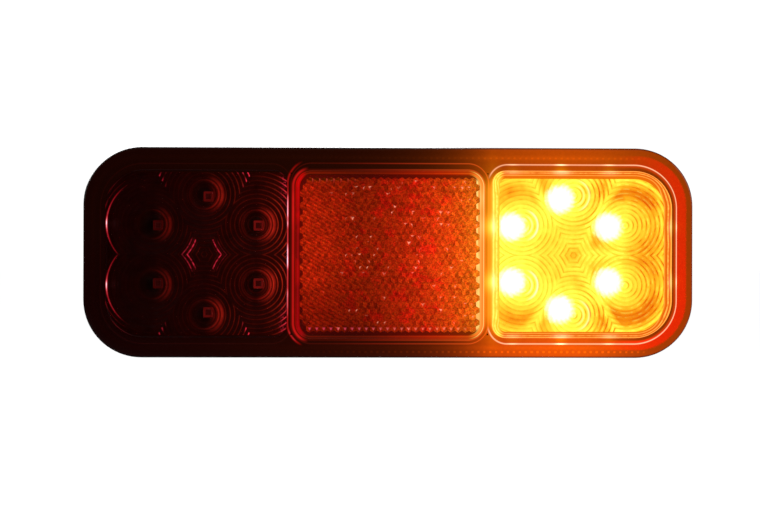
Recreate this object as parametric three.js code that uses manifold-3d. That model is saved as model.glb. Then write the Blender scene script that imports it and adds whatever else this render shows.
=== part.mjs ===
// A surface-mounted LED combination tail light for a trailer: a stop and tail lamp, a reflex reflector
// and a direction indicator in one long rounded housing.
//
// Millimetres. +X runs along the lamp, +Z is up, and the lamp shines towards -Y. The origin is the
// middle of the rear mounting face, so everything in front of the panel has a negative Y and the
// studs and the cable have a positive one.

import * as THREE from "three";
import { mergeVertices } from "three/addons/utils/BufferGeometryUtils.js";
import Module from "manifold-3d";

const wasm = await Module();
wasm.setup();

// ---------------------------------------------------------------- driving dimensions

const HALF_WIDTH = 103;
const HALF_HEIGHT = 35.55;
const CORNER = 19.6;
const DEPTH = 27;

// The three optical fields sit a little below the middle of the outline.
const OPTICS_Z = -0.78;
const MODULE_X = 62.2;
const LED_CIRCLE = 20.15;

// How far each plane lies in front of the mounting face.
const PLANE = {
  window: -DEPTH,
  reflectorBorder: 1 - DEPTH,
  moduleBorder: 1.2 - DEPTH,
  rim: 2 - DEPTH,
  windowInside: 2.5 - DEPTH,
  rimInside: 4.6 - DEPTH,
  lensEdge: -11.6,
  sealFront: -11.5,
  sealBack: -10.5,
  flangeFront: -10.4,
  flangeBack: -8.2,
  boardFront: -6.65,
  boardBack: -5.05,
  floor: -4,
};

const MODULE_BORDER = { inner: 31, outer: 96.6, halfHeight: 30, innerCorner: 6.5, outerCorner: 14.3 };
const WINDOW = { inner: 34.3, outer: 95.1, halfHeight: 27.9, innerCorner: 4.5, outerCorner: 12.8 };
const REFLECTOR_BORDER = { halfWidth: 33.3, halfHeight: 29.85, corner: 7.3 };
const REFLECTOR = { halfWidth: 31.7, halfHeight: 28.3, corner: 5.4 };
const PRISM_FIELD = { halfWidth: 30.2, halfHeight: 26.3, corner: 2.5 };

const WALL = 1.6;
const GAP = 0.1;
const RIM_RADIUS = 3;
const WINDOW_ROUNDING = 0.7;
const BORDER_ROUNDING = 0.3;

const STUD = { x: 76, radius: 2.45, end: 18, headRadius: 4.6, headThick: 2.1, boss: 8 };
const NUT = { back: 6.45, front: 2.45, radius: 4.6, bore: 2.53 };
const CABLE = { z: -14, radius: 2.9, hole: 4.4, boss: 8.6 };
const CORE_RADIUS = 0.95;
const SCREW = { x: 33.2, z: 20, pilot: 1.2, clearance: 1.4, headRadius: 2, headThick: 1.3 };
const POST = { x: 89, z: 16, radius: 2.8 };

// ---------------------------------------------------------------- materials

const plastic = (color, roughness = 0.4) =>
  new THREE.MeshStandardMaterial({ color, roughness, metalness: 0 });
const metal = (color, roughness = 0.35) =>
  new THREE.MeshStandardMaterial({ color, roughness, metalness: 1 });

const BLACK_ABS = plastic(0x121214, 0.5);
const RED_ACRYLIC = plastic(0x8a0506, 0.12);
const AMBER_ACRYLIC = plastic(0xffae14, 0.12);
const REFLEX_ACRYLIC = plastic(0xb01808, 0.15);
const BLACK_RUBBER = plastic(0x18181a, 0.85);
const FOAM = plastic(0x1c1c1e, 0.95);
const BOARD = plastic(0x0d2216, 0.5);
const RED_LED = plastic(0x5c0c0c, 0.3);
const AMBER_LED = plastic(0xffd75a, 0.3);
const CHIP = plastic(0x151515, 0.6);
const ZINC = metal(0xc6c9cc);
const TINNED_COPPER = metal(0xcfcdc6, 0.3);
const SHEATH = plastic(0x1a1a1c, 0.6);

// ---------------------------------------------------------------- shapes and solids

// A rounded rectangle in the face plane. Its left and right ends may have different corners.
function roundedRect(left, right, halfHeight, leftCorner, rightCorner = leftCorner, middle = 0) {
  const bottom = middle - halfHeight;
  const top = middle + halfHeight;
  const shape = new THREE.Shape();
  shape.moveTo(left + leftCorner, bottom);
  shape.lineTo(right - rightCorner, bottom);
  shape.absarc(right - rightCorner, bottom + rightCorner, rightCorner, -Math.PI / 2, 0);
  shape.lineTo(right, top - rightCorner);
  shape.absarc(right - rightCorner, top - rightCorner, rightCorner, 0, Math.PI / 2);
  shape.lineTo(left + leftCorner, top);
  shape.absarc(left + leftCorner, top - leftCorner, leftCorner, Math.PI / 2, Math.PI);
  shape.lineTo(left, bottom + leftCorner);
  shape.absarc(left + leftCorner, bottom + leftCorner, leftCorner, Math.PI, 1.5 * Math.PI);
  return shape;
}

// The lamp's outline drawn in by a distance, with its corners kept concentric.
const outline = (inset) =>
  roundedRect(inset - HALF_WIDTH, HALF_WIDTH - inset, HALF_HEIGHT - inset, CORNER - inset);

// A field centred on the lamp, such as the reflector, grown by a distance.
const centreField = ({ halfWidth, halfHeight, corner }, grow = 0) =>
  roundedRect(-halfWidth - grow, halfWidth + grow, halfHeight + grow, corner + grow, corner + grow, OPTICS_Z);

// A field over one lamp module, grown by a distance. Side -1 is the stop lamp, and 1 the indicator.
function moduleField({ inner, outer, halfHeight, innerCorner, outerCorner }, side, grow = 0) {
  const near = inner - grow;
  const far = outer + grow;
  const small = innerCorner + grow;
  const large = outerCorner + grow;
  return side > 0
    ? roundedRect(near, far, halfHeight + grow, small, large, OPTICS_Z)
    : roundedRect(-far, -near, halfHeight + grow, large, small, OPTICS_Z);
}

// A slab of a face-plane shape between two Y planes, back first, with both its edges rounded if asked.
function slab(shape, back, front, rounding = 0, curveSegments = 6) {
  return new THREE.ExtrudeGeometry(shape, {
    depth: back - front - 2 * rounding,
    curveSegments,
    bevelEnabled: rounding > 0,
    bevelThickness: rounding,
    bevelSize: rounding,
    bevelOffset: -rounding,
    bevelSegments: rounding > 2 ? 3 : 1,
  })
    .rotateX(Math.PI / 2)
    .translate(0, back - rounding, 0);
}

// A disc or a plug along Y between two planes.
function disc(radius, back, front, x = 0, z = 0, segments = 20) {
  const plain = new THREE.CylinderGeometry(radius, radius, back - front, segments);
  return plain.translate(x, (back + front) / 2, z);
}

// A turned shape about the Y axis from [radius, y] pairs that go round its section.
function turned(pairs, segments = 20) {
  const points = pairs.map(([radius, y]) => new THREE.Vector2(radius, y));
  return new THREE.LatheGeometry(points, segments);
}

// A round wire or cable along a curve.
function wire(curve, radius, steps, sides = 8) {
  const section = new THREE.Shape().absarc(0, 0, radius, 0, 2 * Math.PI);
  return new THREE.ExtrudeGeometry(section, {
    steps,
    curveSegments: sides / 2,
    bevelEnabled: false,
    extrudePath: curve,
  });
}

function solid(geometry) {
  const bare = geometry.index ? geometry.toNonIndexed() : geometry.clone();
  bare.deleteAttribute("normal");
  bare.deleteAttribute("uv");
  const merged = mergeVertices(bare, 1e-4);
  return new wasm.Manifold(
    new wasm.Mesh({
      numProp: 3,
      vertProperties: merged.attributes.position.array,
      triVerts: new Uint32Array(merged.index.array),
    }),
  );
}

const join = (geometries) => geometries.map(solid).reduce((whole, next) => whole.add(next));
const cut = (from, geometries) => geometries.reduce((rest, tool) => rest.subtract(solid(tool)), from);

function geometryOf(made) {
  const mesh = made.getMesh();
  return new THREE.BufferGeometry()
    .setAttribute("position", new THREE.BufferAttribute(mesh.vertProperties, 3))
    .setIndex(new THREE.BufferAttribute(mesh.triVerts, 1));
}

const lamp = new THREE.Group();

function addPiece(name, geometry, material, position = [0, 0, 0]) {
  const mesh = new THREE.Mesh(geometry, material);
  mesh.name = name;
  mesh.position.set(...position);
  lamp.add(mesh);
}

// The six LED places of one module, clockwise from the top: a regular hexagon.
function ledPlaces(side) {
  return Array.from({ length: 6 }, (_, i) => {
    const angle = Math.PI / 2 - (i * Math.PI) / 3;
    return [side * MODULE_X + LED_CIRCLE * Math.cos(angle), OPTICS_Z + LED_CIRCLE * Math.sin(angle)];
  });
}

// ---------------------------------------------------------------- lens and reflector

const BIG = 60;

// What lies behind a plane, for trimming the hidden rounding off the back of a slab.
const behind = (plane) =>
  new THREE.BoxGeometry(4 * HALF_WIDTH, BIG, 4 * HALF_HEIGHT).translate(0, plane + BIG / 2, 0);

// A slab with only its front edge rounded.
const domedSlab = (shape, back, front, rounding) =>
  cut(solid(slab(shape, back + 2 * rounding, front, rounding)), [behind(back)]);

const OPTIC_FIELD = { inner: 37.2, outer: 93, halfHeight: 25.7, innerCorner: 2.2, outerCorner: 10.7 };
const BULLSEYE = { radius: 3.4, proud: 0.6 };

// The raised optic in front of each LED, on the inner face of a window.
const bullseyes = (side) =>
  ledPlaces(side).map(([x, z]) =>
    disc(BULLSEYE.radius, PLANE.windowInside + BULLSEYE.proud, PLANE.windowInside - GAP, x, z, 12),
  );

function mainLens() {
  let body = domedSlab(outline(0), PLANE.lensEdge, PLANE.rim, RIM_RADIUS);
  body = body.add(join([
    slab(moduleField(MODULE_BORDER, -1), PLANE.rim + 1, PLANE.moduleBorder, BORDER_ROUNDING),
    slab(moduleField(MODULE_BORDER, 1), PLANE.rim + 1, PLANE.moduleBorder, BORDER_ROUNDING),
    slab(centreField(REFLECTOR_BORDER), PLANE.rim + 1, PLANE.reflectorBorder, BORDER_ROUNDING),
    slab(moduleField(WINDOW, -1), PLANE.rim + 2, PLANE.window, WINDOW_ROUNDING),
  ]));
  const skirtWall = 2.4;
  body = cut(body, [
    slab(outline(skirtWall), 0, PLANE.rimInside),
    slab(moduleField(OPTIC_FIELD, -1), 0, PLANE.windowInside),
    slab(moduleField(WINDOW, 1, GAP / 2), 0, -2 * DEPTH),
    slab(centreField(REFLECTOR, GAP / 2), 0, -2 * DEPTH),
  ]);
  return bullseyes(-1).reduce((whole, tool) => whole.add(solid(tool)), body);
}

function indicatorLens() {
  const window = moduleField(WINDOW, 1, -GAP / 2);
  const body = domedSlab(window, PLANE.rimInside, PLANE.window, WINDOW_ROUNDING);
  const open = cut(body, [slab(moduleField(OPTIC_FIELD, 1), 0, PLANE.windowInside)]);
  return bullseyes(1).reduce((whole, tool) => whole.add(solid(tool)), open);
}

const REFLECTOR_FLANGE = 1.4;
const FLANGE_FRONT = PLANE.rimInside + 0.05;
const FLANGE_BACK = FLANGE_FRONT + 1.15;

function reflectorPlate() {
  const boss = domedSlab(centreField(REFLECTOR, -GAP / 2), FLANGE_BACK, PLANE.window, WINDOW_ROUNDING);
  const flange = solid(slab(centreField(REFLECTOR, REFLECTOR_FLANGE), FLANGE_BACK, FLANGE_FRONT));
  return cut(boss.add(flange), [slab(centreField(PRISM_FIELD), 0, PLANE.windowInside + 0.2)]);
}

function reflectorBack() {
  const front = FLANGE_BACK + GAP;
  const rim = solid(slab(centreField(REFLECTOR, REFLECTOR_FLANGE), front + 1.8, front));
  return cut(rim, [slab(centreField(REFLECTOR, -0.2), front + 0.6, front - 1)]);
}

addPiece("main_lens", geometryOf(mainLens()), RED_ACRYLIC);
addPiece("indicator_lens", geometryOf(indicatorLens()), AMBER_ACRYLIC);
addPiece("reflector_plate", geometryOf(reflectorPlate()), REFLEX_ACRYLIC);
addPiece("reflector_back", geometryOf(reflectorBack()), BLACK_ABS);

// ---------------------------------------------------------------- housing, seal and gasket

const RIB = { thick: 1.6, pitch: 22, count: 4, below: 0.4 };
const RECESS = { inset: 10.5, depth: 1.8 };
const MIDDLE_PAD = 4.6;
const FLANGE_INSET = 0.4;
const BODY_INSET = 2.4;
const CAVITY_INSET = 5;
const GROOVE = { outer: 4.1, inner: 8, depth: 0.8 };

const screwPlaces = [-1, 1].flatMap((side) => [-1, 1].map((level) => [side * SCREW.x, level * SCREW.z]));
const postPlaces = [-1, 1].flatMap((side) => [-1, 1].map((level) => [side * POST.x, level * POST.z]));

// The shallow pocket in the rear face, less the ribs in it, which stop short of the mounting plane, and
// the round pads, which reach it.
function rearPocket() {
  const ribAt = (width, height, x) =>
    new THREE.BoxGeometry(width, BIG, height).translate(x, -BIG / 2 - RIB.below, 0);
  const ribs = Array.from({ length: 2 * RIB.count + 1 }, (_, i) =>
    ribAt(RIB.thick, 2 * HALF_HEIGHT, (i - RIB.count) * RIB.pitch),
  );
  const pads = [
    disc(STUD.boss, BIG, -BIG, -STUD.x, 0),
    disc(STUD.boss, BIG, -BIG, STUD.x, 0),
    disc(CABLE.boss, BIG, -BIG, 0, CABLE.z),
    disc(MIDDLE_PAD, BIG, -BIG),
  ];
  return cut(solid(slab(outline(RECESS.inset), 1, -RECESS.depth)), [
    ...ribs,
    ribAt(2 * HALF_WIDTH, RIB.thick, 0),
    ...pads,
  ]);
}

// A flat ring that follows the outline between two insets.
const outlineRing = (outer, inner, back, front) =>
  cut(solid(slab(outline(outer), back, front)), [slab(outline(inner), back + 1, front - 1)]);

function baseHousing() {
  const spigotInset = 3;
  const rearRounding = 1.2;
  let body = cut(solid(slab(outline(BODY_INSET), 0, PLANE.flangeBack - 4, rearRounding)), [
    slab(outline(-5), PLANE.flangeBack - 1, 2 * PLANE.flangeBack),
  ]);
  body = body.add(join([
    slab(outline(FLANGE_INSET), PLANE.flangeBack, PLANE.flangeFront),
    slab(outline(spigotInset), PLANE.flangeBack, PLANE.flangeFront - 4.6),
  ]));
  body = cut(body, [slab(outline(CAVITY_INSET), PLANE.floor, -2 * DEPTH)]).subtract(rearPocket());
  const posts = [...screwPlaces, ...postPlaces].map(([x, z]) =>
    disc(POST.radius, PLANE.floor + GAP, PLANE.boardBack + 0.05, x, z, 12),
  );
  body = posts.reduce((whole, post) => whole.add(solid(post)), body);
  const studHoles = [-1, 1].flatMap((side) => [
    disc(STUD.radius + 0.15, 5, -BIG, side * STUD.x, 0),
    disc(STUD.headRadius + 0.2, PLANE.floor + STUD.headThick + 0.3, -BIG, side * STUD.x, 0, 6),
  ]);
  const pilots = screwPlaces.map(([x, z]) => disc(SCREW.pilot, -2.7, -BIG, x, z, 12));
  const groove = outlineRing(GROOVE.outer, GROOVE.inner, 1, -GROOVE.depth);
  return cut(body, [...studHoles, ...pilots, disc(CABLE.hole, 5, -BIG, 0, CABLE.z)]).subtract(groove);
}

const GASKET_PROUD = 1.5;

addPiece("base_housing", geometryOf(baseHousing()), BLACK_ABS);
addPiece("lens_seal", geometryOf(outlineRing(0.7, 2.4, PLANE.sealBack, PLANE.sealFront)), BLACK_RUBBER);
addPiece(
  "rear_gasket",
  geometryOf(outlineRing(GROOVE.outer + 0.2, GROOVE.inner - 0.2, GASKET_PROUD, GAP - GROOVE.depth)),
  FOAM,
);

// ---------------------------------------------------------------- board, baffle and electronics

const BOARD_INSET = 8;
const BAFFLE_INSET = 6.4;
const BAFFLE_BACK = PLANE.boardFront - GAP;
const BAFFLE_PLATE = 2;
const BAY = { halfWidth: 30.5, halfHeight: 24, corner: 3 };

function circuitBoard() {
  const holes = screwPlaces.map(([x, z]) => disc(SCREW.clearance, 0, -DEPTH, x, z, 12));
  return cut(solid(slab(outline(BOARD_INSET), PLANE.boardBack, PLANE.boardFront)), [
    ...holes,
    disc(CABLE.hole + 0.6, 0, -DEPTH, 0, CABLE.z),
  ]);
}

// The plate that holds the board down and walls each module off, so that no light strays.
function lightBaffle() {
  const walls = [-1, 1].map((side) =>
    slab(moduleField(OPTIC_FIELD, side, WALL), BAFFLE_BACK, PLANE.rimInside + 0.3),
  );
  const openings = [-1, 1].map((side) => slab(moduleField(OPTIC_FIELD, side), 0, -2 * DEPTH));
  const bay = roundedRect(-BAY.halfWidth, BAY.halfWidth, BAY.halfHeight, BAY.corner);
  const holes = screwPlaces.map(([x, z]) => disc(SCREW.clearance, 0, -DEPTH, x, z, 12));
  const plate = slab(outline(BAFFLE_INSET), BAFFLE_BACK, BAFFLE_BACK - BAFFLE_PLATE);
  return cut(join([plate, ...walls]), [...openings, slab(bay, 0, -DEPTH), ...holes]);
}

// A surface-mounted LED: a square body with a low round lens in front.
function led() {
  const [size, body, lens, rise] = [3.5, 1.2, 1.35, 0.6];
  const dome = Array.from({ length: 5 }, (_, i) => {
    const angle = (i * Math.PI) / 8;
    return [lens * Math.cos(angle), -body - rise * Math.sin(angle)];
  });
  dome[4][0] = 0;
  return join([
    new THREE.BoxGeometry(size, body, size).translate(0, -body / 2, 0),
    turned([...dome.reverse(), [lens, 0.1 - body], [0, 0.1 - body]], 16),
  ]);
}

// A self-tapping screw with a pan head, its head's underside at Y = 0.
const boardScrew = () =>
  join([
    disc(SCREW.headRadius, 0, -SCREW.headThick, 0, 0, 16),
    disc(SCREW.pilot - 0.15, 5.6, -0.5, 0, 0, 12),
  ]);

addPiece("circuit_board", geometryOf(circuitBoard()), BOARD);
addPiece("light_baffle", geometryOf(lightBaffle()), BLACK_ABS);

for (const [module, side, material] of [["stop", -1, RED_LED], ["indicator", 1, AMBER_LED]]) {
  ledPlaces(side).forEach(([x, z], i) =>
    addPiece(`led_${module}_${i + 1}`, geometryOf(led()), material, [x, PLANE.boardFront - 0.05, z]),
  );
}

const SCREW_SEAT = BAFFLE_BACK - BAFFLE_PLATE - 0.05;
screwPlaces.forEach(([x, z], i) =>
  addPiece(`board_screw_${i + 1}`, geometryOf(boardScrew()), ZINC, [x, SCREW_SEAT, z]),
);

// Chips on the front of the board, in the bay behind the reflector: name, place and size.
const CHIPS = [
  ["regulator_stop", -15, 9, 6.6, 2.3, 6.2],
  ["regulator_indicator", 15, 9, 6.6, 2.3, 6.2],
  ["reverse_diode", -5, 17.5, 4.4, 2.2, 2.7],
  ["surge_diode", 5, 17.5, 4.4, 2.2, 2.7],
  ["resistor_1", -22, -3, 6.3, 0.7, 3.2],
  ["resistor_2", -22, -9, 6.3, 0.7, 3.2],
  ["resistor_3", 22, -3, 6.3, 0.7, 3.2],
  ["resistor_4", 22, -9, 6.3, 0.7, 3.2],
];
for (const [name, x, z, width, height, length] of CHIPS) {
  const body = new THREE.BoxGeometry(width, height, length).translate(0, -height / 2, 0);
  addPiece(name, body, CHIP, [x, PLANE.boardFront - 0.05, z]);
}

// ---------------------------------------------------------------- studs and their fastenings

function stud() {
  const headFront = PLANE.floor + 0.1;
  const shank = turned([
    [0, headFront + 0.5],
    [STUD.radius, headFront + 0.5],
    [STUD.radius, STUD.end - 0.8],
    [STUD.radius - 0.7, STUD.end],
    [0, STUD.end],
  ]);
  return join([shank, disc(STUD.headRadius, headFront + STUD.headThick, headFront, 0, 0, 6)]);
}

const hexNut = () =>
  cut(solid(disc(NUT.radius, NUT.back, NUT.front, 0, 0, 6)), [disc(NUT.bore, BIG, -BIG)]);

const flatWasher = () => cut(solid(disc(5, 1.15, 0.15)), [disc(STUD.radius + 0.2, 5, -5)]);

// A ring with a cut through it.
function springWasher() {
  const outer = 4.3;
  const inner = STUD.radius + 0.15;
  const halfCut = 0.12;
  const ring = new THREE.Shape();
  ring.absarc(0, 0, outer, halfCut, 2 * Math.PI - halfCut);
  ring.absarc(0, 0, inner, 2 * Math.PI - halfCut, halfCut, true);
  return slab(ring, 2.4, 1.2, 0, 10);
}

for (const [end, side] of [["left", -1], ["right", 1]]) {
  const place = [side * STUD.x, 0, 0];
  addPiece(`stud_${end}`, geometryOf(stud()), ZINC, place);
  addPiece(`flat_washer_${end}`, geometryOf(flatWasher()), ZINC, place);
  addPiece(`spring_washer_${end}`, springWasher(), ZINC, place);
  addPiece(`hex_nut_${end}`, geometryOf(hexNut()), ZINC, place);
}

// ---------------------------------------------------------------- cable

// The rubber bush in the cable hole, with a tapered boot outside.
function grommet() {
  const bore = CABLE.radius + 0.1;
  return turned([
    [bore, -4.9],
    [5.2, -4.9],
    [5.2, PLANE.floor - 0.1],
    [CABLE.hole - 0.1, PLANE.floor - 0.1],
    [CABLE.hole - 0.1, 0.1],
    [6.6, 0.1],
    [6.6, 2.2],
    [5.2, 3],
    [4.9, 6],
    [4.5, 6],
    [4.4, 8],
    [4.7, 8],
    [4.4, 11],
    [3.9, 14],
    [bore, 14],
    [bore, -4.9],
  ]);
}

const SHEATH_END = new THREE.Vector3(60, 38, -28);
const route = new THREE.CatmullRomCurve3([
  new THREE.Vector3(0, -4.6, CABLE.z),
  new THREE.Vector3(0, 8, CABLE.z),
  new THREE.Vector3(0, 15, CABLE.z),
  new THREE.Vector3(0, 21, CABLE.z),
  new THREE.Vector3(12, 34, -19),
  new THREE.Vector3(36, 38, -27),
  new THREE.Vector3(50, 38, -28),
  SHEATH_END,
]);

addPiece("cable_grommet", grommet(), BLACK_RUBBER, [0, 0, CABLE.z]);
addPiece("cable_sheath", wire(route, CABLE.radius, 28, 12), SHEATH);

// The four cores leave both ends of the sheath in a square bundle: colour, place in it and how far
// each fans out behind.
const CORES = [
  ["white", 0xe8e8e4, -1, 1, -4.5, 3.5],
  ["brown", 0x4a2412, -1, -1, -3.5, -1.5],
  ["red", 0xb4100e, 1, 1, 3, 4.5],
  ["yellow", 0xe0b20c, 1, -1, 4.5, -1],
];
const BUNDLE = 1.15;
const PAD_PITCH = 6;
const TAIL = { length: 25, bare: 6, bareRadius: 0.55 };
const sheathDirection = route.getTangentAt(1);

CORES.forEach(([colour, hex, acrossSign, upSign, fanY, fanZ], i) => {
  const across = acrossSign * BUNDLE;
  const up = upSign * BUNDLE;
  const place = new THREE.Vector3(0, across, up);
  const start = SHEATH_END.clone().addScaledVector(sheathDirection, GAP).add(place);
  const tail = new THREE.CubicBezierCurve3(
    start,
    start.clone().addScaledVector(sheathDirection, 8),
    start.clone().add(new THREE.Vector3(TAIL.length - 8, fanY, fanZ * 0.8)),
    start.clone().add(new THREE.Vector3(TAIL.length, fanY, fanZ)),
  );
  const tip = tail.getPointAt(1).addScaledVector(tail.getTangentAt(1), GAP);
  const bare = new THREE.LineCurve3(tip, tip.clone().addScaledVector(tail.getTangentAt(1), TAIL.bare));
  const pad = (i - 1.5) * PAD_PITCH;
  const inside = new THREE.CatmullRomCurve3([
    new THREE.Vector3(across, -4.75, CABLE.z + up),
    new THREE.Vector3(across, -7.4, CABLE.z + up),
    new THREE.Vector3(across + (pad - across) * 0.4, -10.2 + 1.2 * upSign, CABLE.z + 5 + up),
    new THREE.Vector3(pad, -9.4, -1.2),
    new THREE.Vector3(pad, -8.2, 0),
    new THREE.Vector3(pad, PLANE.boardFront - GAP, 0),
  ]);
  addPiece(`core_${colour}`, wire(tail, CORE_RADIUS, 9, 6), plastic(hex, 0.5));
  addPiece(`bare_end_${colour}`, wire(bare, TAIL.bareRadius, 1, 6), TINNED_COPPER);
  addPiece(`board_lead_${colour}`, wire(inside, CORE_RADIUS * 0.8, 10, 6), plastic(hex, 0.5));
});

export default lamp;
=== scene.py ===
"""The looks of a slim LED trailer tail light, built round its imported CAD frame.

The lenses, the reflector, the housing and the hardware are built again in full detail, and the frame's
own pieces inside the lamp take materials. Lengths are millimetres until a mesh is made.
"""

import math
from functools import partialmethod, reduce
from operator import add

import bmesh
import bpy
import numpy as np
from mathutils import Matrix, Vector


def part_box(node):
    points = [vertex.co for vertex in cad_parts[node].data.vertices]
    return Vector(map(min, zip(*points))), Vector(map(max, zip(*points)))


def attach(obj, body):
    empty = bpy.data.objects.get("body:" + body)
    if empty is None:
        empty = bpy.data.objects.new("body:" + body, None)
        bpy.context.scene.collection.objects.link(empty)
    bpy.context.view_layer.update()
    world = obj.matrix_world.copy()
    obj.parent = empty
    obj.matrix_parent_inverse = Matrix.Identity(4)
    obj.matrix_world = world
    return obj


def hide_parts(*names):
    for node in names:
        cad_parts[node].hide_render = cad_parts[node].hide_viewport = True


MM = 0.001
TURN = 2 * math.pi
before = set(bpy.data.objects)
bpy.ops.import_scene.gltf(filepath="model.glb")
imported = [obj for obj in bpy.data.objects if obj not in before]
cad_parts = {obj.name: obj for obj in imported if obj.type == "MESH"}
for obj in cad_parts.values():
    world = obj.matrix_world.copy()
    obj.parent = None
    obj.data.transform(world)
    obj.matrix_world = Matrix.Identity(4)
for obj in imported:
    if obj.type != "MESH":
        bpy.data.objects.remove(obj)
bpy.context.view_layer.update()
rng = np.random.default_rng(7)
scene = bpy.context.scene


def box(node):
    """The lowest and highest corner of a CAD node, in millimetres."""
    low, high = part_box(node)
    return np.array(low) / MM, np.array(high) / MM


def middle(node):
    """The middle of a CAD node's box."""
    low, high = box(node)
    return (low + high) / 2


# ---- shapes


class Field:
    """A rounded rectangle in the face plane. Its left and right ends may have different corners."""

    def __init__(self, left, right, low, high, left_corner, right_corner=None):
        self.left, self.right, self.low, self.high = left, right, low, high
        self.left_corner = left_corner
        self.right_corner = left_corner if right_corner is None else right_corner

    def grown(self, by):
        corners = [max(corner + by, 0.02) for corner in (self.left_corner, self.right_corner)]
        return self.inset(-by, -by, -by, -by, *corners)

    def inset(self, left, right, low, high, *corners):
        return Field(self.left + left, self.right - right, self.low + low, self.high - high, *corners)

    def mirrored(self):
        return Field(-self.right, -self.left, self.low, self.high, self.right_corner, self.left_corner)

    def ring(self, y, grow=0.0, steps=12):
        """Points round the field at depth y. The count doesn't depend on the size."""
        f = self.grown(grow)
        right_x, left_x = f.right - f.right_corner, f.left + f.left_corner
        corners = (
            (right_x, f.low + f.right_corner, f.right_corner, -90),
            (right_x, f.high - f.right_corner, f.right_corner, 0),
            (left_x, f.high - f.left_corner, f.left_corner, 90),
            (left_x, f.low + f.left_corner, f.left_corner, 180),
        )
        quarter = np.linspace(0, math.pi / 2, steps + 1)
        return np.concatenate([
            circle(x, y, z, radius, quarter + math.radians(start)) for x, z, radius, start in corners
        ])

    def span(self, z):
        """The left and right ends of the row at height z."""
        ends = []
        sides = (self.left, self.left_corner, 1), (self.right, self.right_corner, -1)
        for edge, corner, sign in sides:
            into = max(self.low + corner - z, z - self.high + corner, 0.0)
            ends.append(edge + sign * (corner - math.sqrt(max(corner**2 - into**2, 0.0))))
        return ends


class Shape:
    """Points and faces gathered for one piece."""

    def __init__(self):
        self.points, self.faces, self.slots = [], [], []

    def add(self, points, faces, slot=0):
        base = len(self.points)
        self.points.extend(map(tuple, points))
        self.faces.extend(tuple(base + i for i in face) for face in faces)
        self.slots.extend([slot] * len(faces))
        return self

    def loft(self, rings, loop=False, first_cap=False, last_cap=False, slot=0):
        """Joins each ring of points to the next one, and the last to the first if it is a loop."""
        count = len(rings[0])
        faces = []
        for i in range(len(rings) if loop else len(rings) - 1):
            a, b = i * count, (i + 1) % len(rings) * count
            faces += [(a + j, a + (j + 1) % count, b + (j + 1) % count, b + j) for j in range(count)]
        if first_cap:
            faces.append(tuple(range(count)))
        if last_cap:
            faces.append(tuple(range((len(rings) - 1) * count, len(rings) * count)))
        return self.add(np.concatenate(rings), faces, slot)

    def turn(self, profile, x, z, segments, **options):
        """A turned shape about a line along Y, from [radius, y] pairs."""
        angles = np.linspace(0, TURN, segments, endpoint=False)
        return self.loft([circle(x, y, z, r, angles) for r, y in profile], **options)

    def tube(self, path, radius, sides):
        """A round bar along a path of points, with closed ends. The radius may change along it."""
        path = np.asarray(path, float)
        radii = np.broadcast_to(radius, len(path))
        along = np.gradient(path, axis=0)
        along /= np.linalg.norm(along, axis=1)[:, None]
        side = np.cross(along[0], (0.3, 0.2, 1.0))
        angles = np.linspace(0, TURN, sides, endpoint=False)[:, None]
        rings = []
        for centre, direction, r in zip(path, along, radii):
            side = side - direction * (side @ direction)
            side /= np.linalg.norm(side)
            other = np.cross(direction, side)
            rings.append(centre + r * (np.cos(angles) * side + np.sin(angles) * other))
        return self.loft(rings, first_cap=True, last_cap=True)


def circle(x, y, z, radius, angles):
    """Points about a line along Y. The radius and y may be arrays."""
    depth = np.broadcast_to(y, angles.shape)
    return np.stack([x + radius * np.cos(angles), depth, z + radius * np.sin(angles)], 1)


def front_edge(y, radius, steps):
    """(growth, y) pairs over a rounded front edge, from the side wall to the face at y."""
    angles = np.radians(np.linspace(0, 90, steps + 1))
    return [(-radius * (1 - math.cos(a)), y + radius * (1 - math.sin(a))) for a in angles]


def rear_edge(y, radius, steps):
    """The same over a rounded rear edge, from the side wall back to the face at y."""
    return [(grow, 2 * y - depth) for grow, depth in front_edge(y, radius, steps)]


def rings(field, profile, steps=12):
    """The field's outline at each (growth, y) pair of a profile."""
    return [field.ring(y, grow, steps) for grow, y in profile]


def show(name, mesh):
    made = bpy.data.objects.new(name, mesh)
    scene.collection.objects.link(made)
    return made


def piece(name, node, slot, shape, *materials, body="lamp", sharp=35, values=None):
    """Makes a shown piece that rides on a CAD body and stands for one of its nodes."""
    mesh = bpy.data.meshes.new(name)
    mesh.from_pydata((np.array(shape.points) * MM).tolist(), [], shape.faces)
    for material in materials:
        mesh.materials.append(material)
    mesh.polygons.foreach_set("material_index", shape.slots)
    editable = bmesh.new()
    editable.from_mesh(mesh)
    bmesh.ops.recalc_face_normals(editable, faces=editable.faces)
    editable.to_mesh(mesh)
    editable.free()
    for key, numbers in (values or {}).items():
        attribute = mesh.attributes.new(key, "FLOAT", "POINT")
        attribute.data.foreach_set("value", np.asarray(numbers, np.float32))
    mesh.shade_smooth()
    mesh.set_sharp_from_angle(angle=math.radians(sharp))
    made = show(name, mesh)
    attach(made, body)
    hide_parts(node)


def dress(node, material):
    """Gives a CAD node that stays in view a new material."""
    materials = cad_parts[node].data.materials
    materials.clear()
    materials.append(material)


# ---- materials as arithmetic

ACRYLIC_IOR = 1.49


def connect(tree, value, socket):
    if isinstance(value, Num):
        value = value.socket
    if isinstance(value, bpy.types.NodeSocket):
        tree.links.new(value, socket)
    else:
        socket.default_value = value


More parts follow.
